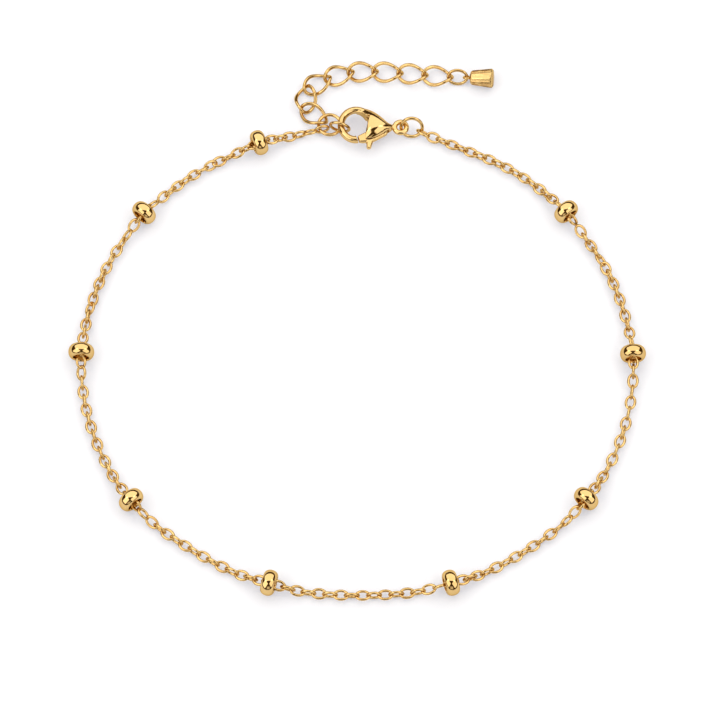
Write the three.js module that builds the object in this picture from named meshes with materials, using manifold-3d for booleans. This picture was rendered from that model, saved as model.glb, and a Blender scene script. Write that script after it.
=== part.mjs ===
// Satellite chain anklet, fastened and laid flat as an open loop, with its extender behind the clasp.
// Millimetres, +Z up. The tables give places on the tabletop from the middle of the chain's loop.
// The whole group is shifted at the end, so that the origin is the middle of the box's underside.

import * as THREE from 'three';
import { mergeVertices } from 'three/addons/utils/BufferGeometryUtils.js';
import Module from 'manifold-3d';

const wasm = await Module();
wasm.setup();

// Driving dimensions
const BOX_MIDDLE = { x: -0.375, y: 4.7 };
const BEAD = { diameter: 3.4, thickness: 1.75, bore: 1.9, lip: 0.14 };
const FINE_LINK = { length: 2.14, width: 1.54, wire: 0.37 };
const CHAIN = { width: 1.56, height: 1.4, rest: 0.71, ramp: 5, end_gap: 0.3 };
const EXTENDER_LINK = { length: 4.42, width: 3.1, wire: 0.48, twist: 45, rest: 0.75 };
const HOOK_RING = { length: 2.95, width: 2.55, wire: 0.4 };
const END_RING = { length: 2.95, width: 2.3, wire: 0.4 };
const ROUND_RING = { wire: 0.45 };
const DROP = { narrow: 1.8, wide: 2.6, length: 3.1, edge: 0.3, eye_radius: 0.45, eye_wire: 0.3 };
const CLASP = {
  x: -0.53,
  y: 33.58,
  heading: -2.3,
  middle: 1.45,
  eye_x: 5.95,
  eye_radius: 0.79,
  eye_wire: 0.7,
  neck_start: 4.5,
  neck_radius: 0.34,
};
const HOOK = { length: 4.94, width: 5.34, wire: 0.92, height: 1.15, y: 0.13 };
const OPENING = { wall: 1.54, turn: -10, low: -1.1, high: 1.45 };
const SLOT = { start: 1.0, end: 4.45, inner_side: 0.6, height: 1.0 };
const MOUTH = { sweep: 3.6, start: -0.3, end: 1.35, inner_side: -0.9 };
const LEVER = { thickness: 0.7, bore_radius: 0.46, boss_radius: 0.74, boss_start: -70, boss_end: 140 };
const PIN = { x: 3.55, y: -0.7, radius: 0.28, root: 0.2 };

// Facets
const TUBE_SIDES = 8;
const TUBE_STEPS = 80;
const BEAD_SIDES = 16;
const BEAD_ARCS = 8;
const WIRE_SIDES = 6;
const LINK_STEPS = 16;
const END_LINK_STEPS = 12;
const CLASP_SIDES = 24;
const PIN_SIDES = 10;

// The chain's way round the tabletop, clockwise from the clasp's jump ring.
// A bead sits on each row that says so.
const ROUTE = [
  { x: 14.0, y: 30.3 },
  { x: 18.9, y: 28.0 },
  { x: 23.4, y: 24.9 },
  { x: 27.3, y: 20.75, bead: true },
  { x: 33.1, y: 11.4 },
  { x: 35.7, y: 0.15, bead: true },
  { x: 34.3, y: -10.4 },
  { x: 29.2, y: -20.35, bead: true },
  { x: 21.4, y: -27.2 },
  { x: 11.65, y: -32.0, bead: true },
  { x: 0.0, y: -33.4 },
  { x: -11.65, y: -32.0, bead: true },
  { x: -21.5, y: -27.2 },
  { x: -29.55, y: -20.5, bead: true },
  { x: -34.9, y: -10.2 },
  { x: -36.45, y: 0.4, bead: true },
  { x: -34.1, y: 11.4 },
  { x: -28.6, y: 20.6, bead: true },
  { x: -21.5, y: 27.0 },
  { x: -13.45, y: 30.95, bead: true },
  { x: -10.3, y: 32.0 },
];

// The rings and end links: where each one lies, the way its long side points, and how it leans.
// Roll lifts its left side, seen along its heading, and pitch lowers its leading end.
const RING_PLACES = [
  { name: 'jump_ring', x: 6.9, y: 33.33, z: 1.48, heading: -10, roll: 57, pitch: 13, radius: 1.42 },
  { name: 'junction_ring', x: -4.05, y: 34.11, z: 0.71, heading: -4.1, roll: 1.1, pitch: 1.4, radius: 1.48 },
];
const HOOK_RING_PLACE = { x: -2.7, y: 33.48, z: 1.3, heading: -13.3, roll: 87.8, pitch: 9.7 };
const END_RING_PLACE = { x: 13.09, y: 41.19, z: 0.87, heading: -4, roll: 44, pitch: -2 };
const END_LINKS = [
  { x: 8.43, y: 32.74, z: 0.93, heading: -33.6, roll: -49.5, pitch: -1.6 },
  { x: -5.08, y: 33.39, z: 0.83, heading: 194.2, roll: 102.2, pitch: -1.2 },
];

// Where the extender's links hang in each other, from the junction ring to the small end ring.
const EXTENDER_JOINTS = [
  { x: -4.95, y: 34.7 },
  { x: -7.43, y: 36.43 },
  { x: -7.11, y: 39.43 },
  { x: -4.36, y: 41.09 },
  { x: -1.28, y: 41.99 },
  { x: 2.02, y: 42.07 },
  { x: 5.37, y: 41.84 },
  { x: 8.73, y: 41.54 },
  { x: 12.08, y: 41.24 },
];
const DROP_PLACE = { x: 14.37, y: 41.11, z: 0.91, heading: -6, roll: -46 };

// The clasp body's middle, half width and half height along its length, from the hook's opening
const CLASP_SECTIONS = [
  { x: 0.0, y: 0.13, width: 2.5, height: 0.57 },
  { x: 0.6, y: 0.12, width: 2.52, height: 0.75 },
  { x: 1.2, y: 0.08, width: 2.46, height: 1.03 },
  { x: 1.8, y: 0.02, width: 2.3, height: 1.36 },
  { x: 2.4, y: -0.04, width: 2.03, height: 1.5 },
  { x: 3.0, y: -0.1, width: 1.68, height: 1.46 },
  { x: 3.6, y: -0.16, width: 1.24, height: 1.26 },
  { x: 4.2, y: -0.17, width: 0.72, height: 0.92 },
  { x: 4.8, y: -0.1, width: 0.36, height: 0.55 },
];

// The lever's outer edge, from its tip past the thumb tab to the boss round its pin.
// Its tip is cut along the arc that it swings through, so that it clears the hook.
const LEVER_OUTER_EDGE = [
  { x: 0.52, y: -2.44 },
  { x: 0.9, y: -2.5 },
  { x: 1.5, y: -2.44 },
  { x: 1.52, y: -3.2 },
  { x: 1.66, y: -3.38 },
  { x: 1.98, y: -3.38 },
  { x: 2.14, y: -3.2 },
  { x: 2.36, y: -2.28 },
  { x: 2.7, y: -2.1 },
  { x: 3.1, y: -1.86 },
];

// The lever's inner edge, from the boss back to its tip
const LEVER_INNER_EDGE = [
  { x: 2.4, y: -0.5 },
  { x: 1.34, y: -0.93 },
  { x: 0.2, y: -1.62 },
];

const { degToRad, lerp, smoothstep } = THREE.MathUtils;
const anklet = new THREE.Group();

// Adds one named piece in polished gold, in the given group.
function addPiece(name, geometry, parent = anklet) {
  const gold = new THREE.MeshStandardMaterial({ color: 0xe2b45a, metalness: 1.0, roughness: 0.16 });
  const piece = new THREE.Mesh(geometry, gold);
  piece.name = name;
  parent.add(piece);
  return piece;
}

// Lays a piece at a place, with its heading, roll and pitch in degrees.
function lay(piece, place) {
  piece.position.set(place.x, place.y, place.z);
  piece.rotation.set(degToRad(place.roll ?? 0), degToRad(place.pitch ?? 0), degToRad(place.heading), 'ZYX');
}

// A closed geometry with its shared corners merged.
function closed(geometry) {
  const bare = geometry.clone();
  bare.deleteAttribute('normal');
  bare.deleteAttribute('uv');
  return mergeVertices(bare, 1e-4);
}

// A closed geometry as a solid that can be joined and cut.
function solid(geometry) {
  const merged = closed(geometry);
  const mesh = new wasm.Mesh({
    numProp: 3,
    vertProperties: new Float32Array(merged.getAttribute('position').array),
    triVerts: new Uint32Array(merged.getIndex().array),
  });
  return new wasm.Manifold(mesh);
}

// A solid's surface as a geometry.
function surface(body) {
  const mesh = body.getMesh();
  const geometry = new THREE.BufferGeometry();
  geometry.setAttribute('position', new THREE.BufferAttribute(mesh.vertProperties.slice(), 3));
  geometry.setIndex(new THREE.BufferAttribute(mesh.triVerts.slice(), 1));
  geometry.computeVertexNormals();
  return geometry;
}

// A wire bent into a closed ring: a torus drawn out along a centreline, a function of the angle
function bentWire(centreline, wire, steps, height) {
  const torus = new THREE.TorusGeometry(1, 0.25, WIRE_SIDES, steps);
  const spots = torus.getAttribute('position');
  const nudge = 1e-3;
  for (let i = 0; i < spots.count; i += 1) {
    const step = i % (steps + 1);
    const side = Math.floor(i / (steps + 1));
    const angle = ((step % steps) / steps) * Math.PI * 2;
    const around = ((side % WIRE_SIDES) / WIRE_SIDES) * Math.PI * 2;
    const middle = centreline(angle);
    const along = centreline(angle + nudge).sub(centreline(angle - nudge)).normalize();
    const outward = middle.clone().addScaledVector(along, -middle.dot(along)).normalize();
    const across = new THREE.Vector3().crossVectors(outward, along);
    middle.addScaledVector(outward, (wire / 2) * Math.cos(around));
    middle.addScaledVector(across, (height / 2) * Math.sin(around));
    spots.setXYZ(i, middle.x, middle.y, middle.z);
  }
  return closed(torus);
}

// A plain oval link or ring of the given outer length and width, its long side along X
function ovalRing({ length, width, wire, height = wire }, steps) {
  const oval = (angle) => new THREE.Vector3(
    ((length - wire) / 2) * Math.cos(angle),
    ((width - wire) / 2) * Math.sin(angle),
    0,
  );
  return bentWire(oval, wire, steps, height);
}

// An oval link twisted about its long side, so that a row of them lies flat.
function twistedLink({ length, width, wire, twist }) {
  const turned = (angle) => {
    const lean = -degToRad(twist) * Math.cos(angle);
    const side = ((width - wire) / 2) * Math.sin(angle);
    return new THREE.Vector3(
      ((length - wire) / 2) * Math.cos(angle),
      side * Math.cos(lean),
      side * Math.sin(lean),
    );
  };
  return bentWire(turned, wire, LINK_STEPS, wire);
}

// A drilled bead with a round rim, its bore along X.
function beadGeometry() {
  const bore = BEAD.bore / 2;
  const root = bore + BEAD.lip;
  const reach = BEAD.diameter / 2 - root;
  const profile = [];
  for (let i = 0; i <= BEAD_ARCS; i += 1) {
    const angle = lerp(-Math.PI / 2, Math.PI / 2, i / BEAD_ARCS);
    profile.push(new THREE.Vector2(root + reach * Math.cos(angle), (BEAD.thickness / 2) * Math.sin(angle)));
  }
  profile.push(new THREE.Vector2(bore, BEAD.thickness / 2 - BEAD.lip));
  profile.push(new THREE.Vector2(bore, BEAD.lip - BEAD.thickness / 2));
  profile.push(profile[0].clone());
  return closed(new THREE.LatheGeometry(profile, BEAD_SIDES).rotateZ(-Math.PI / 2));
}

// The end of a fine link, the chain's end gap beyond its outer side.
function chainEnd(link) {
  const reach = FINE_LINK.length / 2 + CHAIN.end_gap;
  const heading = degToRad(link.heading);
  return { x: link.x + reach * Math.cos(heading), y: link.y + reach * Math.sin(heading) };
}

// The chain's height over the tabletop: it lies on it, and rises to the middle of each bead.
function chainHeight(spot) {
  const stations = ROUTE.filter((row) => row.bead);
  const distances = stations.map((row) => Math.hypot(spot.x - row.x, spot.y - row.y));
  const rise = smoothstep(CHAIN.ramp - Math.min(...distances), 0, CHAIN.ramp);
  return lerp(CHAIN.rest, BEAD.diameter / 2, rise);
}

// The chain's centreline in space, from one end link to the other.
const route = [chainEnd(END_LINKS[0]), ...ROUTE, chainEnd(END_LINKS[1])];
const spots = route.map((row) => new THREE.Vector3(row.x, row.y, 0));
const plan = new THREE.CatmullRomCurve3(spots, false, 'centripetal');
const chainCurve = new THREE.CatmullRomCurve3(
  plan.getSpacedPoints(TUBE_STEPS * 2).map((spot) => spot.setZ(chainHeight(spot))),
);

// The fine chain as a plain oval cord of its outer size, and its two end links
function makeChain() {
  const section = new THREE.Shape();
  section.absellipse(0, 0, CHAIN.height / 2, CHAIN.width / 2, 0, Math.PI * 2);
  const outline = new THREE.Shape(section.getSpacedPoints(TUBE_SIDES).slice(0, TUBE_SIDES));
  const tube = new THREE.ExtrudeGeometry(outline, { steps: TUBE_STEPS, extrudePath: chainCurve });
  addPiece('chain', closed(tube));
  END_LINKS.forEach((place, i) => {
    const link = addPiece(`chain_end_link_${i + 1}`, ovalRing(FINE_LINK, END_LINK_STEPS));
    lay(link, place);
  });
}

// The beads, each square to the chain where it sits
function makeBeads() {
  const stations = ROUTE.filter((row) => row.bead);
  const samples = plan.getSpacedPoints(TUBE_STEPS * 10);
  stations.forEach((row, i) => {
    const spot = new THREE.Vector3(row.x, row.y, 0);
    const away = samples.map((sample) => sample.distanceTo(spot));
    const nearest = away.indexOf(Math.min(...away));
    const along = samples[nearest + 1].clone().sub(samples[nearest - 1]);
    const heading = THREE.MathUtils.radToDeg(Math.atan2(along.y, along.x));
    lay(addPiece(`bead_${i + 1}`, beadGeometry()), { ...row, z: BEAD.diameter / 2, heading });
  });
}

// The round rings, the small hook ring, and the extender with its end ring
function makeRings() {
  RING_PLACES.forEach((row) => {
    const size = (row.radius * 2) + ROUND_RING.wire;
    const ring = ovalRing({ length: size, width: size, wire: ROUND_RING.wire }, LINK_STEPS);
    lay(addPiece(row.name, ring), row);
  });
  lay(addPiece('hook_ring', ovalRing(HOOK_RING, LINK_STEPS)), HOOK_RING_PLACE);
  EXTENDER_JOINTS.slice(1).forEach((end, i) => {
    const start = EXTENDER_JOINTS[i];
    const heading = THREE.MathUtils.radToDeg(Math.atan2(end.y - start.y, end.x - start.x));
    const place = { x: (start.x + end.x) / 2, y: (start.y + end.y) / 2, z: EXTENDER_LINK.rest, heading };
    lay(addPiece(`extender_link_${i + 1}`, twistedLink(EXTENDER_LINK)), place);
  });
  lay(addPiece('extender_end_ring', ovalRing(END_RING, LINK_STEPS)), END_RING_PLACE);
}

// The cone-shaped end drop, lying on its side, with the eye at its narrow end
function makeDrop() {
  const { narrow, wide, length, edge, eye_radius: eyeRadius, eye_wire: eyeWire } = DROP;
  const start = eyeRadius;
  const end = start + length;
  const outline = [
    [0, start],
    [narrow / 2 - edge, start],
    [narrow / 2, start + edge],
    [wide / 2, end - edge],
    [wide / 2 - edge, end],
    [0, end],
  ];
  const cone = new THREE.LatheGeometry(outline.map(([r, y]) => new THREE.Vector2(r, y)), BEAD_SIDES);
  const size = eyeRadius * 2 + eyeWire;
  const eye = ovalRing({ length: size, width: size, wire: eyeWire }, END_LINK_STEPS);
  const body = solid(cone.rotateZ(-Math.PI / 2)).add(solid(eye));
  const lean = THREE.MathUtils.radToDeg(Math.atan2((wide - narrow) / 2, length));
  lay(addPiece('end_drop', surface(body)), { ...DROP_PLACE, pitch: -lean });
}

// A box between two corners
function block(low, high) {
  const box = new THREE.BoxGeometry(high.x - low.x, high.y - low.y, high.z - low.z);
  return box.translate((low.x + high.x) / 2, (low.y + high.y) / 2, (low.z + high.z) / 2);
}

// An upright round bar about a place on the clasp
function uprightBar(x, y, radius, low, high, sides) {
  const bar = new THREE.CylinderGeometry(radius, radius, high - low, sides).rotateX(Math.PI / 2);
  return bar.translate(x, y, (low + high) / 2);
}

// The clasp's domed teardrop body, before it is cut
function domedBody() {
  const last = CLASP_SECTIONS.at(-1);
  const outline = [
    new THREE.Vector2(0, CLASP_SECTIONS[0].x),
    ...CLASP_SECTIONS.map((row) => new THREE.Vector2(row.width, row.x)),
    new THREE.Vector2(0, last.x),
  ];
  const dome = closed(new THREE.LatheGeometry(outline, CLASP_SIDES).rotateZ(-Math.PI / 2));
  const spots = dome.getAttribute('position');
  for (let i = 0; i < spots.count; i += 1) {
    const row = CLASP_SECTIONS.find((section) => Math.abs(section.x - spots.getX(i)) < 1e-3);
    spots.setY(i, spots.getY(i) + row.y);
    spots.setZ(i, (spots.getZ(i) * row.height) / row.width + CLASP.middle);
  }
  return dome;
}

// The clasp's casting: the hook, the domed body with its slot, the pivot pin and the eye
function claspBody() {
  const { middle, eye_x: eyeX, eye_radius: eyeRadius, eye_wire: eyeWire } = CLASP;
  const far = 10;
  const low = middle - SLOT.height / 2;
  const high = middle + SLOT.height / 2;
  const hook = ovalRing(HOOK, CLASP_SIDES).translate(0, HOOK.y, middle);
  const hole = uprightBar(0, 0, 1, -far, far, CLASP_SIDES);
  hole.scale(HOOK.length / 2 - HOOK.wire, HOOK.width / 2 - HOOK.wire, 1).translate(0, HOOK.y, 0);
  const front = block({ x: 0, y: OPENING.low, z: -far }, { x: OPENING.wall, y: OPENING.high, z: far });
  front.rotateZ(degToRad(OPENING.turn));
  const slot = block({ x: SLOT.start, y: -far, z: low }, { x: SLOT.end, y: SLOT.inner_side, z: high });
  const mouth = block({ x: MOUTH.start, y: -far, z: -far }, { x: MOUTH.end, y: MOUTH.inner_side, z: far });
  const sweep = uprightBar(PIN.x, PIN.y, MOUTH.sweep, -far, far, CLASP_SIDES * 2);
  const floor = block({ x: -far, y: -far, z: -far }, { x: far, y: far, z: 0 });
  const pin = uprightBar(PIN.x, PIN.y, PIN.radius, low - PIN.root, high + PIN.root, PIN_SIDES);
  const eyeSize = eyeRadius * 2 + eyeWire;
  const eye = ovalRing({ length: eyeSize, width: eyeSize, wire: eyeWire }, LINK_STEPS);
  eye.translate(eyeX, 0, middle);
  const neckLength = eyeX - eyeRadius - CLASP.neck_start;
  const neck = new THREE.CylinderGeometry(CLASP.neck_radius, CLASP.neck_radius, neckLength, PIN_SIDES);
  neck.rotateZ(Math.PI / 2).translate(CLASP.neck_start + neckLength / 2, 0, middle);
  const dome = solid(domedBody()).subtract(solid(hole)).subtract(solid(front));
  const notch = solid(mouth).intersect(solid(sweep));
  const shell = dome.add(solid(hook)).subtract(solid(slot)).subtract(notch).subtract(solid(floor));
  return shell.add(solid(pin)).add(solid(neck)).add(solid(eye));
}

// The lever: a bar along the clasp's lower side, with a thumb tab and a bored boss round the pivot pin
function leverGeometry() {
  const outline = new THREE.Shape(LEVER_OUTER_EDGE.map((row) => new THREE.Vector2(row.x, row.y)));
  outline.absarc(PIN.x, PIN.y, LEVER.boss_radius, degToRad(LEVER.boss_start), degToRad(LEVER.boss_end));
  LEVER_INNER_EDGE.forEach((row) => outline.lineTo(row.x, row.y));
  const bore = new THREE.Path();
  bore.absarc(PIN.x, PIN.y, LEVER.bore_radius, 0, Math.PI * 2, true);
  outline.holes.push(bore);
  const bar = new THREE.ExtrudeGeometry(outline, { depth: LEVER.thickness, bevelEnabled: false });
  return closed(bar.translate(0, 0, CLASP.middle - LEVER.thickness / 2));
}

// The lobster clasp, laid on its flat underside
function makeClasp() {
  const clasp = new THREE.Group();
  clasp.position.set(CLASP.x, CLASP.y, 0);
  clasp.rotation.z = degToRad(CLASP.heading);
  addPiece('clasp_body', surface(claspBody()), clasp);
  addPiece('clasp_lever', leverGeometry(), clasp);
  anklet.add(clasp);
}

makeChain();
makeBeads();
makeRings();
makeDrop();
makeClasp();
anklet.position.set(-BOX_MIDDLE.x, -BOX_MIDDLE.y, 0);

export default anklet;
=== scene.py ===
"""The looks of a satellite chain anklet, fastened and laid on a pale floor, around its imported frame.

Each piece is modelled in millimetres at the origin, as on a bench, and is then laid in its place in metres.
Places are given on the tabletop, from the middle of the chain's loop, as in the part's own tables.
"""

import logging
import math
import random
from collections.abc import Callable, Sequence
from dataclasses import dataclass, field, replace
from enum import Enum

import bmesh
import bpy
import numpy as np
from mathutils import Matrix, Vector


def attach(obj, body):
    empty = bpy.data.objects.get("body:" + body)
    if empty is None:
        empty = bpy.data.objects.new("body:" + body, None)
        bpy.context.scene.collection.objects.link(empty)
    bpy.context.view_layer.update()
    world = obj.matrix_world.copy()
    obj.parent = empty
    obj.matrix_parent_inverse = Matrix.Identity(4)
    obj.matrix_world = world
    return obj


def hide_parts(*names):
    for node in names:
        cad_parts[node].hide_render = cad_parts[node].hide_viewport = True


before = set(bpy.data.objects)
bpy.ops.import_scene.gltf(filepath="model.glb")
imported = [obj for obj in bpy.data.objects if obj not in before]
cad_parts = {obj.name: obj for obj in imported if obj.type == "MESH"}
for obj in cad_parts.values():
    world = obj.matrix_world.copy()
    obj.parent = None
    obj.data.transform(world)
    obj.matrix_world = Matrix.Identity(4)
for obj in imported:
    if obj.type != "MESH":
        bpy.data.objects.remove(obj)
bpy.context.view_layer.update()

LOG = logging.getLogger("anklet")
MM = 0.001
DOUBLES = 1e-4
BOX_MIDDLE = Vector((-0.375, 4.7, 0.0))
ROW_FROM_TABLE = Matrix.Scale(MM, 4) @ Matrix.Translation(-BOX_MIDDLE)


class Body(Enum):
    """The frame's bodies that pieces ride on."""

    ANKLET = "anklet"
    LEVER = "lever"


@dataclass(frozen=True)
class Place:
    """Where a piece lies on the tabletop, in millimetres and degrees.

    Roll lifts the left side, seen along the heading, and pitch lowers the leading end.
    """

    x: float
    y: float
    z: float
    heading: float = 0.0
    roll: float = 0.0
    pitch: float = 0.0

    def matrix(self) -> Matrix:
        """Give the place as a matrix on the tabletop."""
        turn = Matrix.Rotation(math.radians(self.heading), 4, "Z")
        tip = Matrix.Rotation(math.radians(self.pitch), 4, "Y")
        lean = Matrix.Rotation(math.radians(self.roll), 4, "X")
        return Matrix.Translation((self.x, self.y, self.z)) @ turn @ tip @ lean


@dataclass(frozen=True)
class Spot:
    """One point of an outline or a row of joints, in millimetres."""

    x: float
    y: float


# Bench work: selecting, cutting, copying and laying pieces


def clear_bench() -> None:
    """Leave edit mode and deselect everything."""
    if bpy.context.mode != "OBJECT":
        bpy.ops.object.mode_set(mode="OBJECT")
    bpy.ops.object.select_all(action="DESELECT")


def pick(piece: bpy.types.Object) -> None:
    """Make one piece the only selected and active one.

    Args:
        piece: The object to work on.
    """
    clear_bench()
    piece.select_set(True)
    bpy.context.view_layer.objects.active = piece


def started(name: str) -> bpy.types.Object:
    """Name the primitive that was just added, with its turn applied to its mesh.

    Args:
        name: The workpiece's name.

    Returns:
        The active object.
    """
    piece = bpy.context.active_object
    piece.name = name
    pick(piece)
    bpy.ops.object.transform_apply(location=True, rotation=True, scale=True)
    return piece


def open_mesh(piece: bpy.types.Object) -> None:
    """Open a piece's mesh in edit mode, with nothing selected.

    Args:
        piece: The mesh object to open.
    """
    pick(piece)
    bpy.ops.object.mode_set(mode="EDIT")
    bpy.ops.mesh.select_mode(type="VERT")
    bpy.ops.mesh.select_all(action="DESELECT")


def close_mesh() -> None:
    """Merge doubles, turn the faces outwards and leave edit mode."""
    bpy.ops.mesh.select_all(action="SELECT")
    bpy.ops.mesh.remove_doubles(threshold=DOUBLES)
    bpy.ops.mesh.normals_make_consistent(inside=False)
    bpy.ops.object.mode_set(mode="OBJECT")


def select_points(test: Callable[[Vector], bool]) -> None:
    """Select the points of the open mesh that pass a test.

    Args:
        test: Says of a point's place whether it is selected.
    """
    mesh = bpy.context.edit_object.data
    cage = bmesh.from_edit_mesh(mesh)
    for point in cage.verts:
        point.select_set(test(point.co))
    cage.select_flush_mode()
    bmesh.update_edit_mesh(mesh)


def shift_points(test: Callable[[Vector], bool], by: Sequence[float]) -> None:
    """Move some points of the open mesh.

    Args:
        test: Says of a point's place whether it moves.
        by: The move, in millimetres.
    """
    select_points(test)
    bpy.ops.transform.translate(value=tuple(by))


def scale_points(test: Callable[[Vector], bool], by: Sequence[float], about: Sequence[float]) -> None:
    """Scale some points of the open mesh about a place.

    Args:
        test: Says of a point's place whether it takes part.
        by: The scale along each axis.
        about: The place that stays put.
    """
    select_points(test)
    bpy.ops.transform.resize(value=tuple(by), center_override=tuple(about))


def move_points(shift: Callable[[Vector], Vector]) -> None:
    """Move each point of the open mesh by a formula.

    Args:
        shift: Gives a point's move from its place.
    """
    mesh = bpy.context.edit_object.data
    cage = bmesh.from_edit_mesh(mesh)
    for point in cage.verts:
        point.co += shift(point.co)
    bmesh.update_edit_mesh(mesh)


def everywhere(_: Vector) -> bool:
    """Pass every point."""
    return True


def apply_modifier(piece: bpy.types.Object, kind: str, **settings: object) -> None:
    """Add a modifier to a piece and apply it.

    Args:
        piece: The mesh object.
        kind: The modifier's type.
        **settings: Values for the modifier's properties.
    """
    pick(piece)
    modifier = piece.modifiers.new(kind.lower(), kind)
    for name, value in settings.items():
        setattr(modifier, name, value)
    bpy.ops.object.modifier_apply(modifier=modifier.name)


def combine(piece: bpy.types.Object, other: bpy.types.Object, operation: str) -> None:
    """Cut a piece with another solid or fuse it to it. The other solid is used up.

    Args:
        piece: The object that is kept.
        other: The tool or addition.
        operation: DIFFERENCE, UNION or INTERSECT.
    """
    apply_modifier(piece, "BOOLEAN", object=other, operation=operation, solver="EXACT")
    bpy.data.objects.remove(other)


def join(piece: bpy.types.Object, *others: bpy.types.Object) -> None:
    """Join other objects into a piece.

    Args:
        piece: The object that is kept.
        *others: The objects that are used up.
    """
    pick(piece)
    for other in others:
        other.select_set(True)
    bpy.ops.object.join()


def smooth(piece: bpy.types.Object, degrees: float) -> None:
    """Shade a piece smooth, with sharper edges kept.

    Args:
        piece: The mesh object.
        degrees: The bend from which an edge stays sharp.
    """
    pick(piece)
    bpy.ops.object.shade_smooth_by_angle(angle=math.radians(degrees))


def copy_of(pattern: bpy.types.Object, name: str) -> bpy.types.Object:
    """Copy a pattern with a mesh of its own.

    Args:
        pattern: The modelled object.
        name: The copy's name.

    Returns:
        The copy, in the scene.
    """
    copy = pattern.copy()
    copy.data = pattern.data.copy()
    copy.name = name
    copy.data.name = name
    bpy.context.scene.collection.objects.link(copy)
    return copy


def lay(piece: bpy.types.Object, matrix: Matrix) -> None:
    """Move a finished piece's mesh from the bench to its place, in metres.

    Args:
        piece: The mesh object, at the origin.
        matrix: Its place on the tabletop, in millimetres.
    """
    piece.data.transform(ROW_FROM_TABLE @ matrix)
    piece.data.update()


def hand_over(piece: bpy.types.Object, body: Body, *nodes: str) -> None:
    """Tell the frame what a piece rides on and stands for.

    Args:
        piece: The finished piece, in its place.
        body: The body that it moves with.
        *nodes: The nodes that it stands for.
    """
    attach(piece, body.value)
    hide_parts(*nodes)
    LOG.info("%s: %d faces, stands for %s", piece.name, len(piece.data.polygons), ", ".join(nodes))


def wire_ring(name: str, radius: float, wire: float, steps: int, sides: int) -> bpy.types.Object:
    """Bend a round wire into a ring on the bench.

    Args:
        name: The ring's name.
        radius: The radius of the wire's middle line.
        wire: The wire's thickness.
        steps: Faces round the ring.
        sides: Faces round the wire.

    Returns:
        The ring, flat at the origin.
    """
    clear_bench()
    bpy.ops.mesh.primitive_torus_add(
        major_segments=steps, minor_segments=sides, major_radius=radius, minor_radius=wire / 2
    )
    return started(name)


def oval_link(
    name: str, length: float, width: float, wire: float, steps: int, sides: int
) -> bpy.types.Object:
    """Draw a wire ring out into an oval link with its long side along X.

    Args:
        name: The link's name.
        length: Its outer length.
        width: Its outer width.
        wire: The wire's thickness.
        steps: Faces round the link.
        sides: Faces round the wire.

    Returns:
        The link, flat at the origin.
    """
    link = wire_ring(name, (width - wire) / 2, wire, steps, sides)
    reach = (length - width) / 2
    open_mesh(link)
    move_points(lambda spot: Vector((reach * math.cos(math.atan2(spot.y, spot.x)), 0.0, 0.0)))
    close_mesh()
    return link


# Finishes


def new_group(name: str, inputs: dict[str, str], outputs: dict[str, str]) -> bpy.types.NodeTree:
    """Start a shader node group with named sockets.

    Args:
        name: The group's name.
        inputs: Socket names and types that go in.
        outputs: Socket names and types that come out.

    Returns:
        The group, with its input and output nodes.
    """
    group = bpy.data.node_groups.new(name, "ShaderNodeTree")
    for direction, sockets in (("INPUT", inputs), ("OUTPUT", outputs)):
        for label, kind in sockets.items():
            group.interface.new_socket(label, in_out=direction, socket_type=f"NodeSocket{kind}")
    group.nodes.new("NodeGroupInput")
    group.nodes.new("NodeGroupOutput")
    return group


def plating_tone_group() -> bpy.types.NodeTree:
    """Make the group that drifts the plate's colour between two tones.

    Returns:
        The group, with Color out.
    """
    group = new_group(
        "plating_tone",
        {"Vector": "Vector", "Light": "Color", "Deep": "Color", "Scale": "Float"},
        {"Color": "Color"},
    )
    nodes, links = group.nodes, group.links
    source, result = nodes["Group Input"], nodes["Group Output"]
    drift = nodes.new("ShaderNodeTexNoise")
    drift.inputs["Detail"].default_value = 3.0
    spread = nodes.new("ShaderNodeMapRange")
    spread.inputs["From Min"].default_value = 0.35
    spread.inputs["From Max"].default_value = 0.65
    mix = nodes.new("ShaderNodeMix")
    mix.data_type = "RGBA"
    links.new(source.outputs["Vector"], drift.inputs["Vector"])
    links.new(source.outputs["Scale"], drift.inputs["Scale"])
    links.new(drift.outputs["Fac"], spread.inputs["Value"])
    links.new(spread.outputs["Result"], mix.inputs["Factor"])
    links.new(source.outputs["Light"], mix.inputs["A"])
    links.new(source.outputs["Deep"], mix.inputs["B"])
    links.new(mix.outputs["Result"], result.inputs["Color"])
    return group


def polishing_group() -> bpy.types.NodeTree:
    """Make the group of polishing marks and fine wear.

    Returns:
        The group, with Roughness and Height out.
    """
    group = new_group(
        "polishing_marks",
        {"Vector": "Vector", "Scale": "Float", "Smoothest": "Float", "Roughest": "Float"},
        {"Roughness": "Float", "Height": "Float"},
    )
    nodes, links = group.nodes, group.links
    source, result = nodes["Group Input"], nodes["Group Output"]
    marks = nodes.new("ShaderNodeTexNoise")
    marks.inputs["Detail"].default_value = 4.0
    marks.inputs["Roughness"].default_value = 0.6
    marks.inputs["Distortion"].default_value = 0.6
    wear = nodes.new("ShaderNodeMapRange")
    wear.inputs["From Min"].default_value = 0.3
    wear.inputs["From Max"].default_value = 0.7
    links.new(source.outputs["Vector"], marks.inputs["Vector"])
    links.new(source.outputs["Scale"], marks.inputs["Scale"])
    links.new(marks.outputs["Fac"], wear.inputs["Value"])
    links.new(source.outputs["Smoothest"], wear.inputs["To Min"])
    links.new(source.outputs["Roughest"], wear.inputs["To Max"])
    links.new(wear.outputs["Result"], result.inputs["Roughness"])
    links.new(marks.outputs["Fac"], result.inputs["Height"])
    return group


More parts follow.
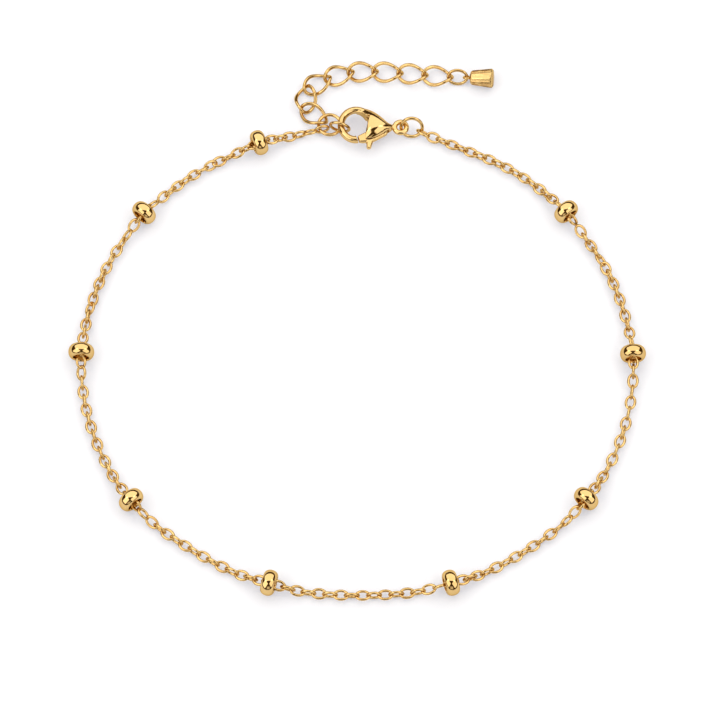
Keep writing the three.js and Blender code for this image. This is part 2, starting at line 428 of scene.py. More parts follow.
@dataclass(frozen=True)
class GoldFinish:
    """One finish of the gold plate: its two tones, the tint of its rims, its polish and its marks."""

    name: str
    light: tuple[float, float, float]
    deep: tuple[float, float, float]
    rim: tuple[float, float, float]
    smoothest: float
    roughest: float
    drift_per_metre: float
    marks_per_metre: float
    mark_strength: float

    def material(self, tone: bpy.types.NodeTree, polish: bpy.types.NodeTree) -> bpy.types.Material:
        """Make the finish's material.

        Args:
            tone: The plating tone group.
            polish: The polishing marks group.

        Returns:
            The material.
        """
        material = bpy.data.materials.new(self.name)
        material.use_nodes = True
        nodes, links = material.node_tree.nodes, material.node_tree.links
        shader = nodes["Principled BSDF"]
        shader.inputs["Metallic"].default_value = 1.0
        shader.inputs["Specular Tint"].default_value = (*self.rim, 1.0)
        where = nodes.new("ShaderNodeTexCoord")
        colour = nodes.new("ShaderNodeGroup")
        colour.node_tree = tone
        colour.inputs["Light"].default_value = (*self.light, 1.0)
        colour.inputs["Deep"].default_value = (*self.deep, 1.0)
        colour.inputs["Scale"].default_value = self.drift_per_metre
        marks = nodes.new("ShaderNodeGroup")
        marks.node_tree = polish
        marks.inputs["Scale"].default_value = self.marks_per_metre
        marks.inputs["Smoothest"].default_value = self.smoothest
        marks.inputs["Roughest"].default_value = self.roughest
        bump = nodes.new("ShaderNodeBump")
        bump.inputs["Strength"].default_value = self.mark_strength
        bump.inputs["Distance"].default_value = 1.0 / self.marks_per_metre
        links.new(where.outputs["Object"], colour.inputs["Vector"])
        links.new(where.outputs["Object"], marks.inputs["Vector"])
        links.new(colour.outputs["Color"], shader.inputs["Base Color"])
        links.new(marks.outputs["Roughness"], shader.inputs["Roughness"])
        links.new(marks.outputs["Height"], bump.inputs["Height"])
        links.new(bump.outputs["Normal"], shader.inputs["Normal"])
        return material


DRAWN_WIRE = GoldFinish(
    name="drawn_gold_wire",
    light=(0.76, 0.54, 0.24),
    deep=(0.69, 0.46, 0.19),
    rim=(0.8, 0.66, 0.42),
    smoothest=0.06,
    roughest=0.12,
    drift_per_metre=420.0,
    marks_per_metre=9000.0,
    mark_strength=0.03,
)
TURNED_BEAD = GoldFinish(
    name="turned_gold_bead",
    light=(0.77, 0.55, 0.25),
    deep=(0.71, 0.49, 0.21),
    rim=(0.8, 0.66, 0.42),
    smoothest=0.04,
    roughest=0.09,
    drift_per_metre=260.0,
    marks_per_metre=7000.0,
    mark_strength=0.02,
)
CAST_CLASP = GoldFinish(
    name="cast_gold_clasp",
    light=(0.78, 0.56, 0.26),
    deep=(0.72, 0.50, 0.22),
    rim=(0.8, 0.66, 0.42),
    smoothest=0.06,
    roughest=0.13,
    drift_per_metre=220.0,
    marks_per_metre=6000.0,
    mark_strength=0.03,
)


# The chain's way round the table


@dataclass(frozen=True)
class Turn:
    """One point that the chain passes, and whether a bead sits there."""

    x: float
    y: float
    bead: bool = False


ROUTE = (
    Turn(14.0, 30.3),
    Turn(18.9, 28.0),
    Turn(23.4, 24.9),
    Turn(27.3, 20.75, bead=True),
    Turn(33.1, 11.4),
    Turn(35.7, 0.15, bead=True),
    Turn(34.3, -10.4),
    Turn(29.2, -20.35, bead=True),
    Turn(21.4, -27.2),
    Turn(11.65, -32.0, bead=True),
    Turn(0.0, -33.4),
    Turn(-11.65, -32.0, bead=True),
    Turn(-21.5, -27.2),
    Turn(-29.55, -20.5, bead=True),
    Turn(-34.9, -10.2),
    Turn(-36.45, 0.4, bead=True),
    Turn(-34.1, 11.4),
    Turn(-28.6, 20.6, bead=True),
    Turn(-21.5, 27.0),
    Turn(-13.45, 30.95, bead=True),
    Turn(-10.3, 32.0),
)
END_LINKS = (
    Place(8.43, 32.74, 0.93, heading=-33.6, roll=-49.5, pitch=-1.6),
    Place(-5.08, 33.39, 0.83, heading=194.2, roll=102.2, pitch=-1.2),
)


@dataclass
class ChainPath:
    """The chain's centreline on the tabletop, measured along its length.

    It is a centripetal spline through the end links and the route, sampled closely.
    """

    samples_per_span: int = 40
    spots: np.ndarray = field(init=False)
    lengths: np.ndarray = field(init=False)

    def __post_init__(self) -> None:
        """Sample the spline and measure it."""
        knots = [(END_LINKS[0].x, END_LINKS[0].y)]
        knots += [(turn.x, turn.y) for turn in ROUTE]
        knots += [(END_LINKS[1].x, END_LINKS[1].y)]
        self.spots = self.spline(np.array(knots))
        steps = np.linalg.norm(np.diff(self.spots, axis=0), axis=1)
        self.lengths = np.concatenate([[0.0], np.cumsum(steps)])

    def spline(self, knots: np.ndarray) -> np.ndarray:
        """Draw a centripetal spline through knots.

        Args:
            knots: The points that it passes, one a row.

        Returns:
            Close points along it, one a row.
        """
        first, last = 2 * knots[0] - knots[1], 2 * knots[-1] - knots[-2]
        ends = np.vstack([first, knots, last])
        share = np.linspace(0.0, 1.0, self.samples_per_span, endpoint=False)[:, None]
        spans = []
        for before, start, end, after in zip(ends, ends[1:], ends[2:], ends[3:]):
            pairs = ((before, start), (start, end), (end, after))
            a, b, c = (np.sqrt(np.linalg.norm(q - p)) for p, q in pairs)
            leave = ((start - before) / a - (end - before) / (a + b) + (end - start) / b) * b
            arrive = ((end - start) / b - (after - start) / (b + c) + (after - end) / c) * b
            cubic = 2 * (start - end) + leave + arrive
            square = 3 * (end - start) - 2 * leave - arrive
            spans.append(start + leave * share + square * share**2 + cubic * share**3)
        return np.vstack([*spans, knots[-1:]])

    def at(self, length: float) -> tuple[Vector, float]:
        """Find a place along the path.

        Args:
            length: How far along, in millimetres.

        Returns:
            The place on the table, and the heading there in degrees.
        """
        near = 0.2
        x, y = (np.interp(length, self.lengths, self.spots[:, i]) for i in (0, 1))
        (x0, y0), (x1, y1) = (
            [np.interp(length + step, self.lengths, self.spots[:, i]) for i in (0, 1)]
            for step in (-near, near)
        )
        return Vector((x, y, 0.0)), math.degrees(math.atan2(y1 - y0, x1 - x0))

    def bead_lengths(self) -> list[float]:
        """Measure how far along the path each bead sits.

        Returns:
            A length for each bead, in order.
        """
        beads = [np.array((turn.x, turn.y)) for turn in ROUTE if turn.bead]
        return [float(self.lengths[np.linalg.norm(self.spots - bead, axis=1).argmin()]) for bead in beads]


# How far along the chain its flat links lie, in millimetres from its first end link.
# The links between two of them stand, or turn over where the chain is twisted.
FLAT_LINKS = (
    *(1.5, 4.2, 6.9, 9.6, 12.3, 15.0, 17.6, 19.9),
    *(23.9, 25.9, 28.3, 30.7, 32.1, 34.5, 36.9, 39.4, 42.0),
    *(46.4, 48.9, 51.9, 55.0, 57.6, 60.4, 63.2, 65.3),
    *(69.5, 71.0, 73.8, 76.6, 79.3, 82.2, 84.9, 87.0),
    *(91.5, 94.3, 97.1, 100.0, 102.8, 105.6, 108.4),
    *(113.4, 115.9, 118.7, 121.5, 124.3, 127.1, 129.7, 131.3),
    *(135.7, 138.1, 140.4, 143.0, 145.6, 148.1, 150.7, 153.3, 154.8),
    *(158.2, 160.4, 162.8, 164.2, 166.6, 169.0, 171.8, 174.4, 176.0),
    *(179.9, 181.8, 184.3, 187.0, 190.9, 193.6),
    *(198.5, 200.9, 203.8),
)


@dataclass
class FineChain:
    """The fine cable chain, one closed wire link after another, threaded through the beads."""

    path: ChainPath
    length: float = 2.14
    width: float = 1.54
    wire: float = 0.37
    pitch: float = 1.38
    steps: int = 18
    sides: int = 8
    rest: float = 0.79
    bead_height: float = 1.65
    ramp: float = 5.0
    twist: float = 35.0
    lean: float = 9.0
    crease: float = 80.0
    seed: int = 7

    def height(self, length: float, beads: Sequence[float]) -> float:
        """Work out how high the chain lies: on the table, and lifted at each bead.

        Args:
            length: How far along the chain.
            beads: How far along each bead is.

        Returns:
            The height of the link's middle.
        """
        away = min(abs(length - bead) for bead in beads)
        share = max(0.0, 1.0 - away / self.ramp)
        rise = share * share * (3.0 - 2.0 * share)
        return self.rest + (self.bead_height - self.rest) * rise

    def places(self) -> list[Place]:
        """Lay out every link from the jump ring round to the junction ring.

        Returns:
            A place for each link.
        """
        chance = random.Random(self.seed)
        stops = [0.0, *FLAT_LINKS, float(self.path.lengths[-1])]
        counts = [max(1, round((end - start) / self.pitch)) for start, end in zip(stops, stops[1:])]
        half_turn = 180.0
        places = []
        for i, count in enumerate(counts):
            for step in range(count):
                share = step / count
                roll = half_turn * round(count / 2) * share + chance.uniform(-self.lean, self.lean)
                if step == 0:
                    roll += self.twist * ((counts[i - 1] == 1) - (count == 1))
                places.append(self.link_place(stops[i] + share * (stops[i + 1] - stops[i]), roll))
        return [END_LINKS[0], *places[1:], END_LINKS[1]]

    def link_place(self, length: float, roll: float) -> Place:
        """Lay one link.

        Args:
            length: How far along the chain it lies.
            roll: How far it is turned over, in degrees.

        Returns:
            The link's place.
        """
        beads = self.path.bead_lengths()
        spot, heading = self.path.at(length)
        near = 0.5
        rise = self.height(length + near, beads) - self.height(length - near, beads)
        pitch = -math.degrees(math.atan2(rise, 2 * near))
        return Place(spot.x, spot.y, self.height(length, beads), heading, roll, pitch)

    def build(self) -> bpy.types.Object:
        """Model one link and string its copies into one mesh.

        Returns:
            The chain, in its place.
        """
        link = oval_link("fine_link", self.length, self.width, self.wire, self.steps, self.sides)
        points = np.array([(*point.co, 1.0) for point in link.data.vertices])
        faces = np.array([face.vertices[:] for face in link.data.polygons])
        places = self.places()
        rows = [points @ np.array(ROW_FROM_TABLE @ place.matrix()).T for place in places]
        mesh = bpy.data.meshes.new("fine_chain")
        mesh.from_pydata(
            np.vstack(rows)[:, :3].tolist(),
            [],
            np.vstack([faces + i * len(points) for i in range(len(places))]).tolist(),
        )
        bpy.data.objects.remove(link)
        chain = bpy.data.objects.new("fine_chain", mesh)
        bpy.context.scene.collection.objects.link(chain)
        LOG.info("fine chain: %d links", len(places))
        return chain

    def dress(self, chain: bpy.types.Object, finish: bpy.types.Material) -> None:
        """Give the chain its finish and hand it over.

        Args:
            chain: The built chain.
            finish: Its material.
        """
        smooth(chain, self.crease)
        chain.data.materials.append(finish)
        hand_over(chain, Body.ANKLET, "chain", "chain_end_link_1", "chain_end_link_2")


@dataclass
class Beads:
    """The round-rimmed rondelle beads, drilled and threaded on the chain."""

    path: ChainPath
    diameter: float = 3.4
    thickness: float = 1.75
    bore: float = 1.9
    lip: float = 0.14
    profile_points: int = 36
    steps: int = 56
    crease: float = 60.0

    def pattern(self) -> bpy.types.Object:
        """Turn one bead on the bench, with its bore along X.

        Returns:
            The bead at the origin.
        """
        root = self.bore / 2 + self.lip
        reach = self.diameter / 2 - root
        clear_bench()
        bpy.ops.mesh.primitive_circle_add(vertices=self.profile_points, radius=1.0, fill_type="NOTHING")
        bead = started("bead_pattern")
        open_mesh(bead)
        scale_points(everywhere, (self.thickness / 2, reach, 1.0), (0, 0, 0))
        scale_points(lambda spot: spot.y < -DOUBLES, (1.0, self.lip / reach, 1.0), (0, 0, 0))
        shift_points(everywhere, (0, root, 0))
        select_points(everywhere)
        bpy.ops.mesh.spin(steps=self.steps, angle=2 * math.pi, center=(0, 0, 0), axis=(1, 0, 0))
        close_mesh()
        return bead

    def build(self) -> list[bpy.types.Object]:
        """Turn the beads and thread them on the chain's path.

        Returns:
            The beads, in their places.
        """
        pattern = self.pattern()
        beads = []
        for number, length in enumerate(self.path.bead_lengths(), start=1):
            spot, heading = self.path.at(length)
            bead = copy_of(pattern, f"rondelle_{number}")
            lay(bead, Place(spot.x, spot.y, self.diameter / 2, heading).matrix())
            beads.append(bead)
        bpy.data.objects.remove(pattern)
        return beads

    def dress(self, beads: Sequence[bpy.types.Object], finish: bpy.types.Material) -> None:
        """Give the beads their finish and hand them over.

        Args:
            beads: The built beads.
            finish: Their material.
        """
        for number, bead in enumerate(beads, start=1):
            smooth(bead, self.crease)
            bead.data.materials.append(finish)
            hand_over(bead, Body.ANKLET, f"bead_{number}")


@dataclass
class Rings:
    """The round jump ring and junction ring, and the small hook ring between hook and junction."""

    wire: float = 0.45
    jump_radius: float = 1.42
    junction_radius: float = 1.48
    hook_length: float = 2.95
    hook_width: float = 2.55
    hook_wire: float = 0.4
    steps: int = 64
    sides: int = 16
    crease: float = 60.0
    jump: Place = Place(6.9, 33.33, 1.48, heading=-10, roll=57, pitch=13)
    junction: Place = Place(-4.05, 34.11, 0.71, heading=-4.1, roll=1.1, pitch=1.4)
    hook: Place = Place(-2.7, 33.48, 1.3, heading=-13.3, roll=87.8, pitch=9.7)

    def build(self) -> dict[str, bpy.types.Object]:
        """Bend the rings and lay them.

        Returns:
            The rings by the node that each stands for.
        """
        faces = (self.steps, self.sides)
        hook_size = (self.hook_length, self.hook_width, self.hook_wire)
        rings = {
            "jump_ring": wire_ring("round_jump_ring", self.jump_radius, self.wire, *faces),
            "junction_ring": wire_ring("round_junction_ring", self.junction_radius, self.wire, *faces),
            "hook_ring": oval_link("small_hook_ring", *hook_size, *faces),
        }
        for ring, place in zip(rings.values(), (self.jump, self.junction, self.hook)):
            lay(ring, place.matrix())
        return rings

    def dress(self, rings: dict[str, bpy.types.Object], finish: bpy.types.Material) -> None:
        """Give the rings their finish and hand them over.

        Args:
            rings: The built rings by node.
            finish: Their material.
        """
        for node, ring in rings.items():
            smooth(ring, self.crease)
            ring.data.materials.append(finish)
            hand_over(ring, Body.ANKLET, node)


JOINTS = (
    Spot(-4.95, 34.7),
    Spot(-7.43, 36.43),
    Spot(-7.11, 39.43),
    Spot(-4.36, 41.09),
    Spot(-1.28, 41.99),
    Spot(2.02, 42.07),
    Spot(5.37, 41.84),
    Spot(8.73, 41.54),
    Spot(12.08, 41.24),
)


@dataclass
class Extender:
    """The extender: twisted oval links, a small end ring and the cone-shaped end drop."""

    length: float = 4.42
    width: float = 3.1
    wire: float = 0.48
    twist: float = 45.0
    rest: float = 0.75
    steps: int = 64
    sides: int = 14
    ring_length: float = 2.95
    ring_width: float = 2.3
    ring_wire: float = 0.4
    ring: Place = Place(13.09, 41.19, 0.87, heading=-4, roll=44, pitch=-2)
    drop: Place = Place(14.37, 41.11, 0.91, heading=-6, roll=-46)
    drop_narrow: float = 1.8
    drop_wide: float = 2.6
    drop_length: float = 3.1
    drop_edge: float = 0.32
    eye_radius: float = 0.45
    eye_wire: float = 0.3
    edge_steps: int = 5
    crease: float = 50.0

    def link_pattern(self) -> bpy.types.Object:
        """Bend one oval link and twist it about its long side.

        Returns:
            The link at the origin.
        """
        link = oval_link("twisted_link", self.length, self.width, self.wire, self.steps, self.sides)
        total = -2 * math.radians(self.twist) * self.length / (self.length - self.wire)
        apply_modifier(link, "SIMPLE_DEFORM", deform_method="TWIST", deform_axis="X", angle=total)
        return link

    def drop_piece(self) -> bpy.types.Object:
        """Turn the cone-shaped drop, round its edges and add its eye.

        Returns:
            The drop at the origin, its eye's middle at the origin.
        """
        clear_bench()
        bpy.ops.mesh.primitive_cone_add(
            vertices=self.steps,
            radius1=self.drop_narrow / 2,
            radius2=self.drop_wide / 2,
            depth=self.drop_length,
            location=(self.eye_radius + self.drop_length / 2, 0, 0),
            rotation=(0, math.pi / 2, 0),
        )
        drop = started("cone_drop")
        open_mesh(drop)
        select_points(everywhere)
        bpy.ops.mesh.bevel(offset=self.drop_edge, segments=self.edge_steps, affect="EDGES")
        close_mesh()
        join(drop, wire_ring("drop_eye", self.eye_radius, self.eye_wire, self.steps, self.sides))
        return drop

    def build(self) -> dict[str, bpy.types.Object]:
        """Make the extender's pieces and lay them.

        Returns:
            The pieces by the node that each stands for.
        """
        pattern = self.link_pattern()
        pieces = {}
        for number, (start, end) in enumerate(zip(JOINTS, JOINTS[1:]), start=1):
            heading = math.degrees(math.atan2(end.y - start.y, end.x - start.x))
            link = copy_of(pattern, f"twisted_link_{number}")
            lay(link, Place((start.x + end.x) / 2, (start.y + end.y) / 2, self.rest, heading).matrix())
            pieces[f"extender_link_{number}"] = link
        bpy.data.objects.remove(pattern)
        small = (self.ring_length, self.ring_width, self.ring_wire, self.steps, self.sides)
        ring = oval_link("small_end_ring", *small)
        lay(ring, self.ring.matrix())
        pieces["extender_end_ring"] = ring
        lean = math.degrees(math.atan2((self.drop_wide - self.drop_narrow) / 2, self.drop_length))
        drop = self.drop_piece()
        lay(drop, replace(self.drop, pitch=-lean).matrix())
        pieces["end_drop"] = drop
        return pieces

    def dress(
        self, pieces: dict[str, bpy.types.Object], wire: bpy.types.Material, turned: bpy.types.Material
    ) -> None:
        """Give the extender its finishes and hand it over.

        Args:
            pieces: The built pieces by node.
            wire: The material of links and ring.
            turned: The material of the drop.
        """
        for node, piece in pieces.items():
            smooth(piece, self.crease)
            piece.data.materials.append(turned if node == "end_drop" else wire)
            hand_over(piece, Body.ANKLET, node)


@dataclass(frozen=True)
class Section:
    """The clasp body's middle, half width and half height at one place along its length."""

    x: float
    y: float
    width: float
    height: float


SECTIONS = (
    Section(0.0, 0.13, 2.5, 0.57),
    Section(0.6, 0.12, 2.52, 0.75),
    Section(1.2, 0.08, 2.46, 1.03),
    Section(1.8, 0.02, 2.3, 1.36),
    Section(2.4, -0.04, 2.03, 1.5),
    Section(3.0, -0.1, 1.68, 1.46),
    Section(3.6, -0.16, 1.24, 1.26),
    Section(4.2, -0.17, 0.72, 0.92),
    Section(4.8, -0.1, 0.36, 0.55),
)
LEVER_OUTER_EDGE = (
    Spot(0.52, -2.44),
    Spot(0.9, -2.5),
    Spot(1.5, -2.44),
    Spot(1.52, -3.2),
    Spot(1.66, -3.38),
    Spot(1.98, -3.38),
    Spot(2.14, -3.2),
    Spot(2.36, -2.28),
    Spot(2.7, -2.1),
    Spot(3.1, -1.86),
)
LEVER_INNER_EDGE = (
    Spot(2.4, -0.5),
    Spot(1.34, -0.93),
    Spot(0.2, -1.62),
)


@dataclass
class Clasp:
    """The lobster clasp: a cast hook, domed body and eye, and its sprung lever."""

    place: Place = Place(-0.53, 33.58, 0.0, heading=-2.3)
    middle: float = 1.45
    hook_length: float = 4.94
    hook_width: float = 5.34
    hook_wire: float = 0.92
    hook_height: float = 1.15
    hook_y: float = 0.13
    wall: float = 1.54
    wall_turn: float = -10.0
    wall_low: float = -1.1
    wall_high: float = 1.45
    eye_x: float = 5.95
    eye_radius: float = 0.79
    eye_wire: float = 0.7
    neck_start: float = 4.5
    neck_radius: float = 0.34
    slot_start: float = 1.0
    slot_end: float = 4.45
    slot_inner: float = 0.6
    slot_height: float = 1.0
    mouth_sweep: float = 3.6
    mouth_start: float = -0.3
    mouth_end: float = 1.35
    mouth_inner: float = -0.9
    pin_x: float = 3.55
    pin_y: float = -0.7
    pin_radius: float = 0.28
    pin_root: float = 0.2
    bore_radius: float = 0.46
    boss_radius: float = 0.74
    boss_start: float = -70.0
    boss_end: float = 140.0
    boss_steps: int = 15
    lever_thickness: float = 0.7
    lever_edge: float = 0.24
    lever_corner: float = 60.0
    edge_steps: int = 4
    voxel: float = 0.045
    rounding: int = 7
    rounding_share: float = 0.5
    crease: float = 60.0
    stations: int = 25
    sides: int = 64
    wire_sides: int = 24
    far: float = 10.0

    def dome(self) -> bpy.types.Object:
        """Draw the body out section by section from a disc.

        Returns:
            The solid teardrop dome, its length along X.
        """
        first = SECTIONS[0]
        clear_bench()
        bpy.ops.mesh.primitive_circle_add(
            vertices=self.sides, radius=1.0, fill_type="NGON", rotation=(0, math.pi / 2, 0)
        )
        dome = started("clasp_dome")
        knots = np.array([row.x for row in SECTIONS])
        along = np.linspace(knots[0], knots[-1], self.stations)
        middles = self.eased(knots, [row.y for row in SECTIONS], along)
        widths = self.eased(knots, [row.width for row in SECTIONS], along)
        heights = self.eased(knots, [row.height for row in SECTIONS], along)
        open_mesh(dome)
        scale_points(everywhere, (1.0, first.width, first.height), (0, 0, 0))
        shift_points(everywhere, (first.x, first.y, self.middle))
        bpy.ops.mesh.select_mode(type="FACE")
        bpy.ops.mesh.select_all(action="SELECT")
        for i in range(1, self.stations):
            step = (float(along[i] - along[i - 1]), float(middles[i] - middles[i - 1]), 0.0)
            bpy.ops.mesh.extrude_region_move(TRANSFORM_OT_translate={"value": step})
            bpy.ops.transform.resize(
                value=(1.0, float(widths[i] / widths[i - 1]), float(heights[i] / heights[i - 1])),
                center_override=(float(along[i]), float(middles[i]), self.middle),
            )
        bpy.ops.mesh.select_mode(type="VERT")
        close_mesh()
        return dome

    def eased(self, knots: np.ndarray, values: Sequence[float], stations: np.ndarray) -> np.ndarray:
        """Run a smooth curve through a section table's column.

        Args:
            knots: Where the rows are.
            values: The column.
            stations: Where values are wanted.

        Returns:
            The values there.
        """
        slopes = np.gradient(np.array(values), knots)
        result = []
        for station in stations:
            i = min(int(np.searchsorted(knots, station, side="right")) - 1, len(knots) - 2)
            span = knots[i + 1] - knots[i]
            t = (station - knots[i]) / span
            result.append(
                (2 * t**3 - 3 * t**2 + 1) * values[i]
                + (t**3 - 2 * t**2 + t) * span * slopes[i]
                + (3 * t**2 - 2 * t**3) * values[i + 1]
                + (t**3 - t**2) * span * slopes[i + 1]
            )
        return np.array(result)

    def box_tool(self, low: Sequence[float], high: Sequence[float]) -> bpy.types.Object:
        """Make a box-shaped cutter.

        Args:
            low: Its lowest corner.
            high: Its highest corner.

        Returns:
            The cutter.
        """
        clear_bench()
        middle = [(a + b) / 2 for a, b in zip(low, high)]
        size = [b - a for a, b in zip(low, high)]
        bpy.ops.mesh.primitive_cube_add(size=1.0, location=middle, scale=size)
        return started("box_cutter")

    def bar(self, x: float, y: float, radius: float, low: float, high: float) -> bpy.types.Object:
        """Make an upright round bar.

        Args:
            x: Its place along the clasp.
            y: Its place across the clasp.
            radius: Its radius.
            low: Its lower end.
            high: Its upper end.

        Returns:
            The bar.
        """
        clear_bench()
        bpy.ops.mesh.primitive_cylinder_add(
            vertices=self.sides, radius=radius, depth=high - low, location=(x, y, (low + high) / 2)
        )
        return started("round_bar")

    def hook(self) -> bpy.types.Object:
        """Bend the hook's band, a closed oval before its mouth is cut.

        Returns:
            The band in its place on the clasp.
        """
        size = (self.hook_length, self.hook_width, self.hook_wire)
        hook = oval_link("hook", *size, self.sides, self.wire_sides)
        open_mesh(hook)
        scale_points(everywhere, (1.0, 1.0, self.hook_height / self.hook_wire), (0, 0, 0))
        shift_points(everywhere, (0, self.hook_y, self.middle))
        close_mesh()
        return hook

    def opening(self) -> tuple[bpy.types.Object, bpy.types.Object]:
        """Make the cutters of the hook's opening: an oval, and a box for its straight front wall.

        Returns:
            The two cutters.
        """
        oval = self.bar(0, 0, 1.0, -self.far, self.far)
        reach = (self.hook_length / 2 - self.hook_wire, self.hook_width / 2 - self.hook_wire, 1.0)
        open_mesh(oval)
        scale_points(everywhere, reach, (0, 0, 0))
        shift_points(everywhere, (0, self.hook_y, 0))
        close_mesh()
        front = self.box_tool((0, self.wall_low, -self.far), (self.wall, self.wall_high, self.far))
        front.data.transform(Matrix.Rotation(math.radians(self.wall_turn), 4, "Z"))
        return oval, front

    def eye(self) -> tuple[bpy.types.Object, bpy.types.Object]:
        """Make the cast eye and the neck that carries it.

        Returns:
            The eye and the neck.
        """
        eye = wire_ring("eye", self.eye_radius, self.eye_wire, self.sides, self.wire_sides)
        open_mesh(eye)
        shift_points(everywhere, (self.eye_x, 0, self.middle))
        close_mesh()
        clear_bench()
        neck_end = self.eye_x - self.eye_radius
        bpy.ops.mesh.primitive_cylinder_add(
            vertices=self.sides,
            radius=self.neck_radius,
            depth=neck_end - self.neck_start,
            location=((neck_end + self.neck_start) / 2, 0, self.middle),
            rotation=(0, math.pi / 2, 0),
        )
        return eye, started("neck")

    def round_off(self, piece: bpy.types.Object) -> None:
        """Round a piece all over, as a tumbled casting.

        Args:
            piece: The cut and fused piece.
        """
        apply_modifier(piece, "REMESH", mode="VOXEL", voxel_size=self.voxel)
        apply_modifier(piece, "SMOOTH", factor=self.rounding_share, iterations=self.rounding)

    def body(self) -> bpy.types.Object:
        """Cast the clasp body: cut and fuse its forms, then round it.

        Returns:
            The body at the origin.
        """
        low, high = self.middle - self.slot_height / 2, self.middle + self.slot_height / 2
        body = self.dome()
        for tool in self.opening():
            combine(body, tool, "DIFFERENCE")
        combine(body, self.hook(), "UNION")
        slot = self.box_tool((self.slot_start, -self.far, low), (self.slot_end, self.slot_inner, high))
        mouth = self.box_tool(
            (self.mouth_start, -self.far, -self.far), (self.mouth_end, self.mouth_inner, self.far)
        )
        combine(mouth, self.bar(self.pin_x, self.pin_y, self.mouth_sweep, -self.far, self.far), "INTERSECT")
        floor = self.box_tool((-self.far, -self.far, -self.far), (self.far, self.far, 0.0))
        for tool in (slot, mouth, floor):
            combine(body, tool, "DIFFERENCE")
        pin = self.bar(self.pin_x, self.pin_y, self.pin_radius, low - self.pin_root, high + self.pin_root)
        join(body, pin, *self.eye())
        self.round_off(body)
        return body

    def lever(self) -> bpy.types.Object:
        """Stamp the lever from its outline, bore it and round it.

        Returns:
            The lever at the origin.
        """
        arc = np.radians(np.linspace(self.boss_start, self.boss_end, self.boss_steps))
        boss = [
            Spot(self.pin_x + self.boss_radius * math.cos(a), self.pin_y + self.boss_radius * math.sin(a))
            for a in arc
        ]
        outline = [*LEVER_OUTER_EDGE, *boss, *LEVER_INNER_EDGE]
        clear_bench()
        bpy.ops.mesh.primitive_circle_add(vertices=len(outline), radius=1.0, fill_type="NGON")
        lever = started("sprung_lever")
        open_mesh(lever)
        cage = bmesh.from_edit_mesh(lever.data)
        for point, spot in zip(cage.verts, outline):
            point.co = (spot.x, spot.y, self.middle - self.lever_thickness / 2)
        bmesh.update_edit_mesh(lever.data)
        bpy.ops.mesh.select_all(action="SELECT")
        bpy.ops.mesh.extrude_region_move(TRANSFORM_OT_translate={"value": (0, 0, self.lever_thickness)})
        close_mesh()
        corner = math.radians(self.lever_corner)
        apply_modifier(lever, "BEVEL", width=self.lever_edge, segments=self.edge_steps, angle_limit=corner)
        combine(lever, self.bar(self.pin_x, self.pin_y, self.bore_radius, -self.far, self.far), "DIFFERENCE")
        self.round_off(lever)
        return lever

    def build(self) -> dict[str, bpy.types.Object]:
        """Make the clasp's two pieces and lay them.

        Returns:
            The pieces by the node that each stands for.
        """
        body = self.body()
        body.name = "cast_clasp_body"
        lever = self.lever()
        for piece in (body, lever):
            lay(piece, self.place.matrix())
        return {"clasp_body": body, "clasp_lever": lever}

    def dress(self, pieces: dict[str, bpy.types.Object], finish: bpy.types.Material) -> None:
        """Give the clasp its finish and hand it over.

        Args:
            pieces: The built pieces by node.
            finish: Their material.
        """
        for node, piece in pieces.items():
            smooth(piece, self.crease)
            piece.data.materials.append(finish)
            hand_over(piece, Body.LEVER if node == "clasp_lever" else Body.ANKLET, node)


# The studio


@dataclass(frozen=True)
class Softbox:
    """One soft light panel that faces the anklet."""

    name: str
    azimuth: float
    elevation: float
    distance: float
    width: float
    height: float
    brightness: float

    def build(self, target: Vector) -> None:
        """Hang the panel.

        Args:
            target: The place that it faces.
        """
        light = bpy.data.lights.new(self.name, "AREA")
        light.shape = "RECTANGLE"
        light.size = self.width
        light.size_y = self.height
        light.energy = self.brightness * math.pi * self.width * self.height
        panel = bpy.data.objects.new(self.name, light)
        turn, lift = math.radians(self.azimuth), math.radians(self.elevation)
        away = Vector((math.sin(turn) * math.cos(lift), -math.cos(turn) * math.cos(lift), math.sin(lift)))
        panel.location = target + away * self.distance
        panel.rotation_euler = (math.pi / 2 - lift, 0.0, turn)
        bpy.context.scene.collection.objects.link(panel)


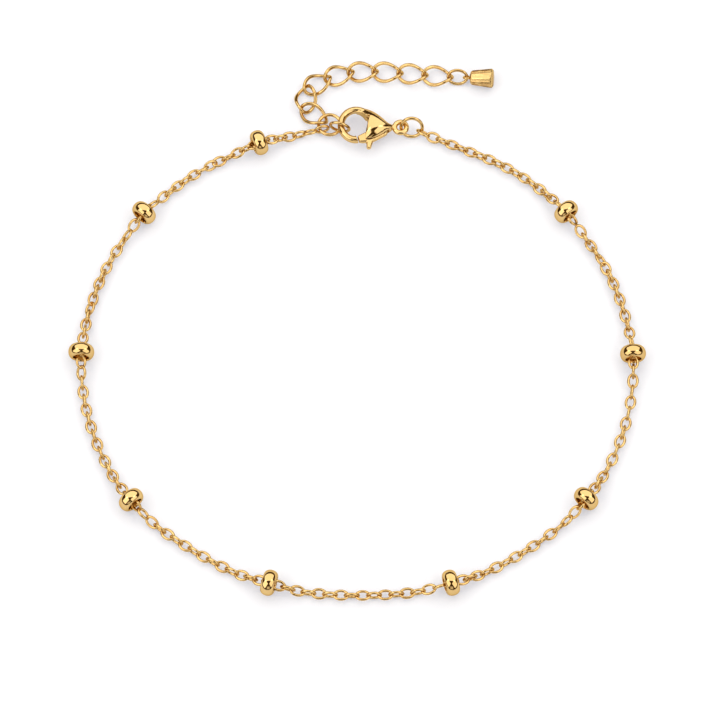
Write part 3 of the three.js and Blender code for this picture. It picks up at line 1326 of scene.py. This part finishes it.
@dataclass
class Studio:
    """The pale floor, the soft light and the camera at the photograph's angle."""

    elevation: float = 66.0
    distance: float = 0.6553
    lens: float = 250.0
    sensor: float = 36.0
    nearest: float = 0.01
    floor_size: float = 4.0
    floor_roughness: float = 0.8
    floor_gloss: float = 0.1
    floor_colour: tuple[float, float, float] = (0.70, 0.66, 0.59)
    floor_glow: tuple[float, float, float] = (0.25, 0.31, 0.42)
    dim: tuple[float, float, float] = (0.09, 0.055, 0.015)
    gamma: float = 0.9
    panels: tuple[Softbox, ...] = (
        Softbox("back_panel", 180.0, 60.0, 0.8, 2.0, 1.2, 1.45),
        Softbox("left_panel", 302.0, 38.0, 0.8, 0.75, 0.8, 1.6),
        Softbox("right_panel", 58.0, 38.0, 0.8, 0.75, 0.8, 1.4),
        Softbox("front_panel", 0.0, 20.0, 0.8, 0.45, 0.35, 0.7),
    )

    def target(self) -> Vector:
        """Find the middle of the chain's loop, which the camera looks at."""
        return ROW_FROM_TABLE @ Vector((0.0, 0.0, 0.0))

    def camera(self) -> None:
        """Set the camera up over the table."""
        lift = math.radians(self.elevation)
        data = bpy.data.cameras.new("photo_camera")
        data.lens = self.lens
        data.sensor_width = self.sensor
        data.clip_start = self.nearest
        camera = bpy.data.objects.new("photo_camera", data)
        camera.location = self.target() + self.distance * Vector((0.0, -math.cos(lift), math.sin(lift)))
        camera.rotation_euler = (math.pi / 2 - lift, 0.0, 0.0)
        bpy.context.scene.collection.objects.link(camera)
        bpy.context.scene.camera = camera

    def floor(self) -> None:
        """Lay the pale floor."""
        clear_bench()
        bpy.ops.mesh.primitive_plane_add(size=self.floor_size)
        floor = started("pale_floor")
        material = bpy.data.materials.new("pale_floor")
        material.use_nodes = True
        shader = material.node_tree.nodes["Principled BSDF"]
        shader.inputs["Base Color"].default_value = (*self.floor_colour, 1.0)
        shader.inputs["Roughness"].default_value = self.floor_roughness
        shader.inputs["Specular IOR Level"].default_value = self.floor_gloss
        shader.inputs["Emission Color"].default_value = (*self.floor_glow, 1.0)
        shader.inputs["Emission Strength"].default_value = 1.0
        floor.data.materials.append(material)

    def light(self) -> None:
        """Hang the panels and dim the room."""
        for panel in self.panels:
            panel.build(self.target())
        world = bpy.data.worlds.new("dim_room")
        world.use_nodes = True
        world.node_tree.nodes["Background"].inputs["Color"].default_value = (*self.dim, 1.0)
        scene = bpy.context.scene
        scene.world = world
        scene.view_settings.view_transform = "Standard"
        scene.view_settings.gamma = self.gamma

    def build(self) -> None:
        """Set up the camera, floor and light."""
        self.camera()
        self.floor()
        self.light()


def main() -> None:
    """Build the studio and the anklet, piece by piece."""
    logging.basicConfig(level=logging.INFO, format="%(name)s %(message)s")
    Studio().build()
    tone, polish = plating_tone_group(), polishing_group()
    wire, turned, cast = (finish.material(tone, polish) for finish in (DRAWN_WIRE, TURNED_BEAD, CAST_CLASP))
    path = ChainPath()
    chain = FineChain(path)
    chain.dress(chain.build(), wire)
    beads = Beads(path)
    beads.dress(beads.build(), turned)
    rings = Rings()
    rings.dress(rings.build(), wire)
    extender = Extender()
    extender.dress(extender.build(), wire, turned)
    clasp = Clasp()
    clasp.dress(clasp.build(), cast)


if __name__ == "__main__":
    main()
